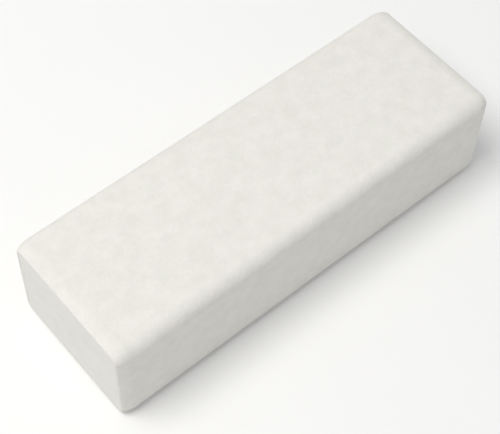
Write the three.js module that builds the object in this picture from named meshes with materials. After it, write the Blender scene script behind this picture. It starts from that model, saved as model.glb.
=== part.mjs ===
// Nail buffer block: a white foam core with coated-abrasive sheet bonded to its four long faces.
// Millimetres, +Z up. X runs along the block, Y across it, and the origin is the centre of the base.
//
// The top and bottom sheets are rolled over the rounded long edges. The front and back strips lie
// between them, a hairline apart. Every sheet is three bonded layers: adhesive film on the foam,
// then the backing sheet, then the abrasive coat. Both ends are cut straight through foam and
// sheets, so every piece is a constant section as long as the block.

import * as THREE from 'three';

// ---- Driving dimensions -------------------------------------------------------------------------

const LENGTH = 100; // end cut to end cut
const WIDTH = 35; // across the abrasive of the front and back strips
const HEIGHT = 25; // across the abrasive of the top and bottom sheets
const EDGE_RADIUS = 3; // of the long edges, over the abrasive
const BUTT_SEAM = 0.03125; // between a rolled sheet's edge and the strip beside it
const ARC_SEGMENTS = 8; // each quarter turn is drawn with twice as many chords

// The three layers of a sheet, from the outside in.
const LAYERS = [
  { name: 'abrasive_coat', thickness: 0.375, colour: 0xeae7e0, roughness: 0.95 },
  { name: 'backing_sheet', thickness: 0.25, colour: 0xe6dfcd, roughness: 0.85 },
  { name: 'adhesive_film', thickness: 0.125, colour: 0xeeeadd, roughness: 0.35 },
];
const FOAM = { colour: 0xf0eee8, roughness: 0.9 };

// ---- Worked out from them -----------------------------------------------------------------------

const SHEET_THICKNESS = LAYERS.reduce((sum, layer) => sum + layer.thickness, 0);

// Every layer's rounded edge is an arc about one of four lines, which lie this far from the axis.
const EDGE_LINE_Y = WIDTH / 2 - EDGE_RADIUS;
const EDGE_LINE_Z = HEIGHT / 2 - EDGE_RADIUS;

const QUARTER_TURN = Math.PI / 2;
const HALF_TURN = Math.PI;

// ---- Sections, drawn about the block's axis with Y to the right and Z up ------------------------

// The foam core: a rectangle whose four corners are rounded to the given radius.
function coreSection(radius) {
  const corners = [
    [EDGE_LINE_Y, EDGE_LINE_Z],
    [-EDGE_LINE_Y, EDGE_LINE_Z],
    [-EDGE_LINE_Y, -EDGE_LINE_Z],
    [EDGE_LINE_Y, -EDGE_LINE_Z],
  ];
  const section = new THREE.Shape();
  corners.forEach(([y, z], corner) => {
    const start = corner * QUARTER_TURN;
    section.absarc(y, z, radius, start, start + QUARTER_TURN, false);
  });
  return section;
}

// One layer of a rolled sheet: flat across the top or bottom face and a quarter turn round both
// long edges. `facing` is 1 for the top sheet and -1 for the bottom one, which is turned half round.
function rolledSection(facing, outerRadius, innerRadius) {
  const y = facing * EDGE_LINE_Y;
  const z = facing * EDGE_LINE_Z;
  const start = facing > 0 ? 0 : HALF_TURN;
  const middle = start + QUARTER_TURN;
  const end = middle + QUARTER_TURN;
  const section = new THREE.Shape();
  section.absarc(y, z, outerRadius, start, middle, false);
  section.absarc(-y, z, outerRadius, middle, end, false);
  section.absarc(-y, z, innerRadius, end, middle, true);
  section.absarc(y, z, innerRadius, middle, start, true);
  return section;
}

// ---- Pieces -------------------------------------------------------------------------------------

function material({ colour, roughness }) {
  return new THREE.MeshStandardMaterial({ color: colour, roughness, metalness: 0 });
}

// A section pushed along the whole length of the block.
function alongBlock(section) {
  const geometry = new THREE.ExtrudeGeometry(section, {
    depth: LENGTH,
    steps: 1,
    bevelEnabled: false,
    curveSegments: ARC_SEGMENTS,
  });
  const acrossIsY = new THREE.Vector3(0, 1, 0);
  const upIsZ = new THREE.Vector3(0, 0, 1);
  const alongIsX = new THREE.Vector3(1, 0, 0);
  geometry.applyMatrix4(new THREE.Matrix4().makeBasis(acrossIsY, upIsZ, alongIsX));
  return geometry.translate(-LENGTH / 2, 0, 0);
}

function foamCore() {
  const mesh = new THREE.Mesh(alongBlock(coreSection(EDGE_RADIUS - SHEET_THICKNESS)), material(FOAM));
  mesh.name = 'foam_core';
  return mesh;
}

// The top or bottom sheet, one mesh to each layer.
function rolledSheet(side, facing) {
  const sheet = new THREE.Group();
  let radius = EDGE_RADIUS;
  for (const layer of LAYERS) {
    const section = rolledSection(facing, radius, radius - layer.thickness);
    const mesh = new THREE.Mesh(alongBlock(section), material(layer));
    mesh.name = `${side}_${layer.name}`;
    sheet.add(mesh);
    radius -= layer.thickness;
  }
  return sheet;
}

// The front or back strip, one mesh to each layer. `facing` is -1 for the front and 1 for the back.
function sideStrip(side, facing) {
  const strip = new THREE.Group();
  const stripHeight = 2 * (EDGE_LINE_Z - BUTT_SEAM);
  let outerFace = WIDTH / 2;
  for (const layer of LAYERS) {
    const geometry = new THREE.BoxGeometry(LENGTH, layer.thickness, stripHeight);
    const mesh = new THREE.Mesh(geometry, material(layer));
    mesh.name = `${side}_${layer.name}`;
    mesh.position.y = facing * (outerFace - layer.thickness / 2);
    strip.add(mesh);
    outerFace -= layer.thickness;
  }
  return strip;
}

// ---- The block, stood on its base ---------------------------------------------------------------

const block = new THREE.Group();
block.position.z = HEIGHT / 2;
block.add(foamCore());
block.add(rolledSheet('top', 1));
block.add(rolledSheet('bottom', -1));
block.add(sideStrip('front', -1));
block.add(sideStrip('back', 1));

const model = new THREE.Group();
model.add(block);

export default model;
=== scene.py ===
"""Nail buffer block: the looks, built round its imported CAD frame.

A white foam core has abrasive sheet bonded to its four long faces. Each sheet is three layers: the
abrasive coat, the backing sheet under it and the adhesive film on the foam. The top and bottom
sheets are rolled over the rounded long edges, and the front and back strips lie between them.

Every CAD node is replaced by a piece of the same name with "_look" on the end, whose surface has the
grain, the soft unevenness and the knife-cut ends of the real thing. Lengths are in metres.
"""

import math

import bpy
import numpy as np
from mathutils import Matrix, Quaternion, Vector, noise


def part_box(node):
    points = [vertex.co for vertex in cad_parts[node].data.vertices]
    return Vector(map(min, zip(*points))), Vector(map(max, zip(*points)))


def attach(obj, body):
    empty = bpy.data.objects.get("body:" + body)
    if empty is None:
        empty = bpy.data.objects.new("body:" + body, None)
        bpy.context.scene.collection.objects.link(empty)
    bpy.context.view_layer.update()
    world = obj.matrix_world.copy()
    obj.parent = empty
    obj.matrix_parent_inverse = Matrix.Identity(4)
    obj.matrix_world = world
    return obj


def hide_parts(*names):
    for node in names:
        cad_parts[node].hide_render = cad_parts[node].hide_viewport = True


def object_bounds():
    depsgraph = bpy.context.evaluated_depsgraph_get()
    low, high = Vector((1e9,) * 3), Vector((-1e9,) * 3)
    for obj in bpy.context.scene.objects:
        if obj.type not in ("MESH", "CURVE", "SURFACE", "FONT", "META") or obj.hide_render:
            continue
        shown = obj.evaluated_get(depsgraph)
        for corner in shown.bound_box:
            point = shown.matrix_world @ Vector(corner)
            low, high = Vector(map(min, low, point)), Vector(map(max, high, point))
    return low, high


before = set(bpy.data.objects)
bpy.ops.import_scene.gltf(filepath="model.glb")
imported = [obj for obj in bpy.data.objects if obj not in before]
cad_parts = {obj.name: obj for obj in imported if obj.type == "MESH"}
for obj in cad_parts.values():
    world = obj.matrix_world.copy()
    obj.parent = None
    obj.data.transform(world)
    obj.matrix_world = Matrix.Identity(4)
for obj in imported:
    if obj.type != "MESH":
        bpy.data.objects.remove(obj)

CAD_LOW, CAD_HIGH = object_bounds()

MM = 0.001
BODY = "root"

# ---- The block's sizes, read from the frame -------------------------------------------------------

HALF_LENGTH = (CAD_HIGH.x - CAD_LOW.x) / 2
HALF_WIDTH = (CAD_HIGH.y - CAD_LOW.y) / 2
HALF_HEIGHT = (CAD_HIGH.z - CAD_LOW.z) / 2
MIDDLE = (CAD_LOW + CAD_HIGH) / 2


def height_of(node):
    low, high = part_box(node)
    return high.z - low.z


# The top coat reaches down to where the rounded edge ends, so its height is the edge's radius.
# Every layer's rounded edge is an arc about one of four lines that run along the block.
EDGE_RADIUS = height_of("top_abrasive_coat")
EDGE_LINE_Y = HALF_WIDTH - EDGE_RADIUS
EDGE_LINE_Z = HALF_HEIGHT - EDGE_RADIUS
STRIP_HALF_HEIGHT = height_of("front_abrasive_coat") / 2

SIDES = ("top", "bottom", "front", "back")
LAYERS = ("abrasive_coat", "backing_sheet", "adhesive_film")

# ---- The surfaces' own detail ---------------------------------------------------------------------

GRAIN = 0.5 * MM  # across one clump of grit
GRAIN_DEPTH = 0.045 * MM
CLUMP = 1.9 * MM  # across the faint unevenness of the coat
CLUMP_DEPTH = 0.012 * MM
SWAY = 24 * MM  # across the soft waves of a foam-backed face
SWAY_DEPTH = 0.12 * MM
CELL = 0.42 * MM  # across one opened foam cell at an end
CELL_DEPTH = 0.05 * MM
KNIFE_LINE = 1.6 * MM  # between the faint ripples that the knife leaves
KNIFE_DEPTH = 0.015 * MM
RAGGED_CUT = 0.05 * MM  # how far a sheet's cut edge wanders

# The knife presses the soft block down as it cuts, so foam and sheets dip together at both ends.
DIP_REACH = 3.2 * MM
DIP_DEPTH = 0.9 * MM
CUT_ROUNDING = 0.35 * MM  # of the coat's own cut edge

COAT_STEP = 0.215 * MM  # between a coat's vertices
HIDDEN_STEP = 0.8 * MM  # between a hidden layer's vertices
FOAM_STEPS = (152, 106)  # cells across and up a cut end
FINE_PER_COARSE = 8  # outer cells of a layer to each cell of its hidden inner face
CROWDING = 0.7  # 0 spaces stations evenly, and near 1 they crowd towards the ends
SHARP_EDGE = math.radians(50)


def noise_at(points, size, shift):
    """Smooth noise from 0 to 1 at each point. A different shift gives an unrelated pattern."""
    offset = Vector((shift, 2 * shift, 3 * shift))
    values = [noise.noise(Vector(point) / size + offset) for point in points]
    return 0.5 + 0.5 * np.clip(values, -1, 1)


def cells_at(points, size):
    """From 0 at the middle of a cell to 1 at its walls, at each point."""
    nearest = [noise.voronoi(Vector(point) / size)[0] for point in points]
    return np.array([first / max(second, first, 1e-6) for first, second, *_ in nearest])


def crowded(count):
    """Positions from -1 to 1, closer together near both."""
    spread = np.linspace(-1, 1, count + 1) * CROWDING * math.pi / 2
    return np.sin(spread) / np.sin(spread[-1])


# ---- Mesh helpers ---------------------------------------------------------------------------------


def add_piece(name, points, faces, material, node):
    """A smooth-shaded mesh piece that rides on the block and stands for its CAD node."""
    mesh = bpy.data.meshes.new(name)
    mesh.from_pydata(points.tolist(), [], faces)
    mesh.validate()
    mesh.polygons.foreach_set("use_smooth", [True] * len(mesh.polygons))
    mesh.set_sharp_from_angle(angle=SHARP_EDGE)
    mesh.materials.append(material)
    piece = bpy.data.objects.new(name, mesh)
    bpy.context.scene.collection.objects.link(piece)
    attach(piece, BODY)
    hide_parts(node)
    return piece


def grid_faces(index):
    """Quads between neighbours of a 2-D array of vertex numbers."""
    corners = (index[:-1, :-1], index[1:, :-1], index[1:, 1:], index[:-1, 1:])
    return np.stack([corner.ravel() for corner in corners], axis=1).tolist()


# ---- Sheets ---------------------------------------------------------------------------------------


def rolled_path(facing, step):
    """The top (1) or bottom (-1) sheet's section: for each station across it, the point on or between
    the edge lines that it is measured from, and its outward direction."""
    turn_steps = round(EDGE_RADIUS * math.pi / 2 / step)
    flat_steps = round(2 * EDGE_LINE_Y / step)
    first_turn = np.linspace(0, math.pi / 2, turn_steps + 1)
    flat_angles = np.full(flat_steps - 1, math.pi / 2)
    angles = np.concatenate([first_turn, flat_angles, first_turn + math.pi / 2])
    across = np.linspace(EDGE_LINE_Y, -EDGE_LINE_Y, flat_steps + 1)[1:-1]
    ends = np.full(turn_steps + 1, EDGE_LINE_Y)
    y = np.concatenate([ends, across, -ends])
    anchors = np.stack([y, np.full(len(y), EDGE_LINE_Z)], axis=1)
    outward = np.stack([np.cos(angles), np.sin(angles)], axis=1)
    return facing * anchors, facing * outward


def strip_path(facing, step):
    """The back (1) or front (-1) strip's section, given as a rolled sheet's is."""
    steps = round(2 * STRIP_HALF_HEIGHT / step)
    z = np.linspace(-STRIP_HALF_HEIGHT, STRIP_HALF_HEIGHT, steps + 1)
    anchors = np.stack([np.full(len(z), EDGE_LINE_Y), z], axis=1)
    outward = np.stack([np.ones(len(z)), np.zeros(len(z))], axis=1)
    return facing * anchors, facing * outward


PATHS = {
    "top": lambda step: rolled_path(1, step),
    "bottom": lambda step: rolled_path(-1, step),
    "back": lambda step: strip_path(1, step),
    "front": lambda step: strip_path(-1, step),
}


def layer_depths(layer):
    """How far a layer's outer and inner faces lie under the block's surface."""
    low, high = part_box(f"back_{layer}")
    return CAD_HIGH.y - high.y, CAD_HIGH.y - low.y


def end_dip(stations):
    """How far the block is pressed down at each station along it."""
    nearness = np.clip(1 - (HALF_LENGTH - np.abs(stations)) / DIP_REACH, 0, 1)
    return DIP_DEPTH * nearness**2


def surface_points(path, stations, depth):
    """An array of points, stations along the block by stations across the sheet."""
    anchors, outward = path
    reach = EDGE_RADIUS - depth - end_dip(stations)
    section = anchors + reach[:, None, None] * outward
    points = np.empty((*section.shape[:2], 3))
    points[..., 0] = MIDDLE.x + stations[:, None]
    points[..., 1] = MIDDLE.y + section[..., 0]
    points[..., 2] = MIDDLE.z + section[..., 1]
    return points


def sink(points, path, relief):
    """Moves a grid of surface points inwards by the relief at each."""
    _, outward = path
    points[..., 1] -= relief * outward[None, :, 0]
    points[..., 2] -= relief * outward[None, :, 1]


def sway_at(points):
    return SWAY_DEPTH * noise_at(points, SWAY, 7.3)


def coat_relief(points):
    """Grit in its binder, on a coat that follows the foam's soft waves."""
    grains = GRAIN_DEPTH * cells_at(points, GRAIN) ** 2
    clumps = CLUMP_DEPTH * noise_at(points, CLUMP, 3.1)
    return grains + clumps + sway_at(points)


def rounded_cut(stations):
    """How far the worn corner of a coat's cut edge lies under its surface."""
    nearness = np.clip(1 - (HALF_LENGTH - np.abs(stations)) / CUT_ROUNDING, 0, 1)
    return CUT_ROUNDING / 2 * nearness**2


def sheet_layer(side, layer, material):
    """One closed layer of one side's sheet."""
    is_coat = layer == "abrasive_coat"
    path = PATHS[side](COAT_STEP if is_coat else HIDDEN_STEP)
    fine = FINE_PER_COARSE if is_coat else 1
    step = COAT_STEP if is_coat else HIDDEN_STEP
    coarse_cells = round(2 * HALF_LENGTH / step / fine)
    stations = HALF_LENGTH * crowded(coarse_cells * fine)
    outer_depth, inner_depth = layer_depths(layer)

    outer = surface_points(path, stations, outer_depth)
    inner = surface_points(path, stations[::fine], inner_depth)
    if is_coat:
        relief = coat_relief(outer.reshape(-1, 3)).reshape(outer.shape[:2])
        relief += rounded_cut(stations)[:, None]
        sink(outer, path, relief)
    for rim, way in ((outer[0], 1), (outer[-1], -1), (inner[0], 1), (inner[-1], -1)):
        rim[:, 0] += way * RAGGED_CUT * noise_at(rim, CLUMP, 11.7)

    outer_index = np.arange(outer.shape[0] * outer.shape[1]).reshape(outer.shape[:2])
    inner_index = np.arange(inner.shape[0] * inner.shape[1]).reshape(inner.shape[:2])
    inner_index += outer_index.size
    faces = grid_faces(outer_index) + grid_faces(inner_index[:, ::-1])
    cut_edges = ((outer_index[0], inner_index[0]), (outer_index[-1, ::-1], inner_index[-1, ::-1]))
    for outer_row, inner_row in cut_edges:
        rim = np.stack([outer_row[:-1], outer_row[1:], inner_row[1:], inner_row[:-1]], axis=1)
        faces += rim.tolist()
    for outer_edge, inner_edge, forward in (
        (outer_index[:, -1], inner_index[:, -1], True),
        (outer_index[:, 0], inner_index[:, 0], False),
    ):
        for cell in range(coarse_cells):
            run = outer_edge[cell * fine : (cell + 1) * fine + 1].tolist()
            rim = run + [int(inner_edge[cell + 1]), int(inner_edge[cell])]
            faces.append(rim if forward else rim[::-1])
    points = np.concatenate([outer.reshape(-1, 3), inner.reshape(-1, 3)])
    node = f"{side}_{layer}"
    return add_piece(f"{node}_look", points, faces, material, node)


# ---- Foam core ------------------------------------------------------------------------------------


def rounded_rectangle_grid(half_y, half_z, radius, steps):
    """A grid of points that fills a rounded rectangle. In each corner the square's edge is drawn in
    to the arc."""
    across = np.linspace(-half_y, half_y, steps[0] + 1)
    up = np.linspace(-half_z, half_z, steps[1] + 1)
    y, z = np.meshgrid(across, up, indexing="ij")
    corner_y = np.clip(np.abs(y) - (half_y - radius), 0, None)
    corner_z = np.clip(np.abs(z) - (half_z - radius), 0, None)
    longest = np.maximum(corner_y, corner_z)
    diagonal = np.maximum(np.hypot(corner_y, corner_z), 1e-12)
    pull = np.where(longest > 0, longest / diagonal, 1)
    y = np.sign(y) * (np.abs(y) - corner_y * (1 - pull))
    z = np.sign(z) * (np.abs(z) - corner_z * (1 - pull))
    return y, z


def boundary_of(index):
    """The vertex numbers round the edge of a grid, once each."""
    return np.concatenate([index[:-1, 0], index[-1, :-1], index[:0:-1, -1], index[0, :0:-1]])


def cut_relief(points):
    """Opened cells, knife ripples and a slow wave on a cut end."""
    cells = CELL_DEPTH * (1 - cells_at(points, CELL)) ** 2
    along_knife = points[:, 2] + 0.18 * points[:, 1]
    phase = 2 * math.pi * along_knife / KNIFE_LINE + 5 * noise_at(points, SWAY, 2.9)
    ripples = KNIFE_DEPTH * (1 + np.sin(phase)) / 2
    return cells + ripples + sway_at(points)


def foam_section(station):
    """A grid of points across the core at one station."""
    low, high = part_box("foam_core")
    dip = end_dip(station)
    half_y = (high.y - low.y) / 2 - dip
    half_z = (high.z - low.z) / 2 - dip
    y, z = rounded_rectangle_grid(half_y, half_z, half_y - EDGE_LINE_Y, FOAM_STEPS)
    x = np.full(y.size, station)
    return np.stack([x, y.ravel(), z.ravel()], axis=1) + MIDDLE


def foam_core(material):
    """The core: dense cut ends, joined by plain sides that the sheets hide."""
    near_cut = foam_section(-HALF_LENGTH)
    far_cut = foam_section(HALF_LENGTH)
    near_cut[:, 0] += cut_relief(near_cut)
    far_cut[:, 0] -= cut_relief(far_cut)
    near_index = np.arange(len(near_cut)).reshape(FOAM_STEPS[0] + 1, FOAM_STEPS[1] + 1)
    far_index = near_index + len(near_cut)
    boundary = boundary_of(near_index)

    inset = np.linspace(DIP_REACH / 8, DIP_REACH, 8)
    stations = np.concatenate([inset - HALF_LENGTH, HALF_LENGTH - inset[::-1]])
    side_rings = [foam_section(station)[boundary] for station in stations]
    ring_starts = 2 * len(near_cut) + len(boundary) * np.arange(len(stations))
    side_indices = [start + np.arange(len(boundary)) for start in ring_starts]
    rings = [boundary, *side_indices, boundary + len(near_cut)]

    faces = grid_faces(near_index) + grid_faces(far_index[::-1])
    for one, other in zip(rings[:-1], rings[1:]):
        band = np.stack([one, np.roll(one, -1), np.roll(other, -1), other], axis=1)
        faces += band.tolist()
    points = np.concatenate([near_cut, far_cut, *side_rings])
    piece = add_piece("foam_core_look", points, faces, material, "foam_core")
    return piece


# ---- Materials ------------------------------------------------------------------------------------


class Nodes:
    """A new material's node tree, with short ways to add and join nodes."""

    def __init__(self, name, roughness):
        self.material = bpy.data.materials.new(name)
        self.material.use_nodes = True
        self.tree = self.material.node_tree
        self.shader = self.tree.nodes["Principled BSDF"]
        self.shader.inputs["Roughness"].default_value = roughness
        self.place = self.add("ShaderNodeTexCoord").outputs["Object"]

    def add(self, kind, **settings):
        node = self.tree.nodes.new(kind)
        for name, value in settings.items():
            setattr(node, name, value)
        return node

    def join(self, output, socket):
        self.tree.links.new(output, socket)

    def noise(self, size, detail=2.0):
        """Smooth noise with features about this size across."""
        node = self.add("ShaderNodeTexNoise")
        node.inputs["Scale"].default_value = 1 / size
        node.inputs["Detail"].default_value = detail
        self.join(self.place, node.inputs["Vector"])
        return node.outputs["Fac"]

    def voronoi(self, size, feature):
        node = self.add("ShaderNodeTexVoronoi", feature=feature)
        node.inputs["Scale"].default_value = 1 / size
        self.join(self.place, node.inputs["Vector"])
        return node

    def cells(self, size):
        """Round cells about this size across: the distance from a cell's middle, and its own colour."""
        node = self.voronoi(size, "F1")
        return node.outputs["Distance"], node.outputs["Color"]

    def walls(self, size):
        """The distance from the walls between the same cells."""
        return self.voronoi(size, "DISTANCE_TO_EDGE").outputs["Distance"]

    def ramp(self, value, *stops):
        """A value turned to colours: each stop is (position, colour)."""
        node = self.add("ShaderNodeValToRGB")
        elements = node.color_ramp.elements
        while len(elements) < len(stops):
            elements.new(0.5)
        for element, (position, colour) in zip(elements, stops):
            element.position = position
            element.color = (*colour, 1)
        self.join(value, node.inputs["Fac"])
        return node.outputs["Color"]

    def scaled(self, value, low, high):
        """A value from 0 to 1, moved to the range from low to high."""
        node = self.add("ShaderNodeMapRange")
        node.inputs["To Min"].default_value = low
        node.inputs["To Max"].default_value = high
        self.join(value, node.inputs["Value"])
        return node.outputs["Result"]

    def mix(self, factor, one, other, blend="MIX"):
        node = self.add("ShaderNodeMix", data_type="RGBA", blend_type=blend)
        if isinstance(factor, float):
            node.inputs[0].default_value = factor
        else:
            self.join(factor, node.inputs[0])
        self.join(one, node.inputs[6])
        self.join(other, node.inputs[7])
        return node.outputs[2]

    def bump(self, height, distance, strength=1.0, under=None):
        node = self.add("ShaderNodeBump")
        node.inputs["Distance"].default_value = distance
        node.inputs["Strength"].default_value = strength
        self.join(height, node.inputs["Height"])
        if under is not None:
            self.join(under, node.inputs["Normal"])
        return node.outputs["Normal"]

    def finish(self, colour, roughness, normal):
        self.join(colour, self.shader.inputs["Base Color"])
        self.join(roughness, self.shader.inputs["Roughness"])
        self.join(normal, self.shader.inputs["Normal"])
        return self.material


def abrasive_material():
    """White aluminium-oxide grit in its binder: matt, warm white, faintly mottled."""
    m = Nodes("white_abrasive", 0.95)
    grit_distance, grit_colour = m.cells(0.16 * MM)
    greyer = (0.3, (0.765, 0.752, 0.715))
    paler = (0.7, (0.815, 0.798, 0.762))
    mottle = m.ramp(m.noise(2.6 * MM, 3.0), greyer, paler)
    greenish = (0.3, (0.985, 1.0, 0.985))
    neutral = (0.5, (1.0, 1.0, 1.0))
    pinkish = (0.7, (1.0, 0.985, 0.98))
    tint = m.ramp(m.noise(1.1 * MM, 2.0), greenish, neutral, pinkish)
    grains = m.ramp(grit_colour, (0.0, (0.95, 0.95, 0.95)), (1.0, (1.0, 1.0, 1.0)))
    colour = m.mix(1.0, mottle, tint, "MULTIPLY")
    colour = m.mix(1.0, colour, grains, "MULTIPLY")
    roughness = m.scaled(grit_colour, 0.82, 1.0)
    coarse = m.bump(m.noise(0.45 * MM, 2.0), 0.03 * MM)
    normal = m.bump(grit_distance, 0.03 * MM, under=coarse)
    m.shader.inputs["Specular IOR Level"].default_value = 0.3
    return m.finish(colour, roughness, normal)


def foam_material():
    """White closed-cell foam, knife cut: fine cells with paler walls and middles a little darker,
    painted shade in each cell's hollow.
    """
    m = Nodes("white_foam", 0.9)
    wall_distance = m.walls(0.24 * MM)
    _, cell_colour = m.cells(0.24 * MM)
    base = m.ramp(m.noise(3.2 * MM, 3.0), (0.3, (0.78, 0.77, 0.745)), (0.7, (0.82, 0.81, 0.78)))
    # Painted shade: each cell's middle, which the bump below sinks into a hollow, is darkened by up to
    # 3.5 percent against its walls.
    walls = m.ramp(wall_distance, (0.0, (1.0, 1.0, 1.0)), (0.25, (0.965, 0.963, 0.955)))
    cells = m.ramp(cell_colour, (0.0, (0.96, 0.96, 0.96)), (1.0, (1.0, 1.0, 1.0)))
    colour = m.mix(1.0, base, walls, "MULTIPLY")
    colour = m.mix(1.0, colour, cells, "MULTIPLY")
    roughness = m.scaled(cell_colour, 0.75, 0.95)
    normal = m.bump(m.scaled(wall_distance, 1.0, 0.0), 0.03 * MM)
    m.shader.inputs["Specular IOR Level"].default_value = 0.35
    return m.finish(colour, roughness, normal)


def paper_material():
    """The backing sheet's cut edge: pale paper with short fibres."""
    m = Nodes("backing_paper", 0.85)
    fibres = m.noise(0.12 * MM, 4.0)
    colour = m.ramp(fibres, (0.3, (0.70, 0.68, 0.63)), (0.7, (0.80, 0.78, 0.735)))
    roughness = m.scaled(fibres, 0.75, 0.95)
    normal = m.bump(fibres, 0.03 * MM)
    return m.finish(colour, roughness, normal)


def adhesive_material():
    """The adhesive film's cut edge: a cloudy cream line, smoother than the rest."""
    m = Nodes("adhesive", 0.4)
    clouds = m.noise(0.5 * MM, 3.0)
    colour = m.ramp(clouds, (0.3, (0.72, 0.70, 0.64)), (0.7, (0.80, 0.78, 0.72)))
    roughness = m.scaled(clouds, 0.3, 0.5)
    normal = m.bump(clouds, 0.01 * MM)
    return m.finish(colour, roughness, normal)


def floor_material():
    """A plain pale sweep of studio paper."""
    m = Nodes("studio_floor", 0.9)
    clouds = m.noise(60 * MM, 2.0)
    colour = m.ramp(clouds, (0.3, (0.885, 0.885, 0.885)), (0.7, (0.9, 0.9, 0.9)))
    roughness = m.scaled(clouds, 0.85, 0.95)
    normal = m.bump(m.noise(0.8 * MM, 2.0), 0.005 * MM)
    return m.finish(colour, roughness, normal)


# ---- Studio ---------------------------------------------------------------------------------------

VIEW_AZIMUTH = math.radians(-41.62)
VIEW_ELEVATION = math.radians(56.96)
VIEW_ROLL = math.radians(2.03)
VIEW_DISTANCE = 290 * MM
VIEW_TARGET = Vector((-4.2, -1.8, 12.5)) * MM
LENS = 98.4


def add_camera():
    camera = bpy.data.objects.new("camera", bpy.data.cameras.new("camera"))
    camera.data.lens = LENS
    camera.data.clip_start = 0.01
    camera.data.clip_end = 20
    back = Vector((
        math.sin(VIEW_AZIMUTH) * math.cos(VIEW_ELEVATION),
        -math.cos(VIEW_AZIMUTH) * math.cos(VIEW_ELEVATION),
        math.sin(VIEW_ELEVATION),
    ))
    camera.location = VIEW_TARGET + back * VIEW_DISTANCE
    camera.rotation_mode = "QUATERNION"
    camera.rotation_quaternion = (-back).to_track_quat("-Z", "Y") @ Quaternion((0, 0, 1), VIEW_ROLL)
    bpy.context.scene.collection.objects.link(camera)
    bpy.context.scene.camera = camera


def add_floor():
    half = 6.0
    mesh = bpy.data.meshes.new("studio_floor")
    corners = [(-half, -half, 0), (half, -half, 0), (half, half, 0), (-half, half, 0)]
    mesh.from_pydata([(x, y, CAD_LOW.z) for x, y, _ in corners], [], [(0, 1, 2, 3)])
    mesh.materials.append(floor_material())
    floor = bpy.data.objects.new("studio_floor", mesh)
    bpy.context.scene.collection.objects.link(floor)


def add_area_light(name, direction, distance, size, power, colour):
    """A square soft light that faces the block from that direction."""
    light = bpy.data.lights.new(name, "AREA")
    light.size = size
    light.energy = power
    light.color = colour
    lamp = bpy.data.objects.new(name, light)
    towards = Vector(direction).normalized()
    lamp.location = MIDDLE + towards * distance
    lamp.rotation_mode = "QUATERNION"
    lamp.rotation_quaternion = (-towards).to_track_quat("-Z", "Y")
    bpy.context.scene.collection.objects.link(lamp)


def light_studio():
    """Even white light all round, and one large soft light above the near end's back corner."""
    world = bpy.data.worlds.new("studio")
    world.use_nodes = True
    background = world.node_tree.nodes["Background"]
    background.inputs["Color"].default_value = (0.985, 0.995, 1.0, 1)
    background.inputs["Strength"].default_value = 0.55
    bpy.context.scene.world = world
    add_area_light("key", (-0.38, 0.12, 0.92), 0.7, 0.35, 3.0, (1.0, 0.985, 0.95))
    bpy.context.scene.view_settings.view_transform = "Standard"


# ---- Everything together --------------------------------------------------------------------------


def build_block():
    materials = {
        "abrasive_coat": abrasive_material(),
        "backing_sheet": paper_material(),
        "adhesive_film": adhesive_material(),
    }
    foam_core(foam_material())
    for side in SIDES:
        for layer in LAYERS:
            sheet_layer(side, layer, materials[layer])


add_camera()
build_block()
add_floor()
light_studio()
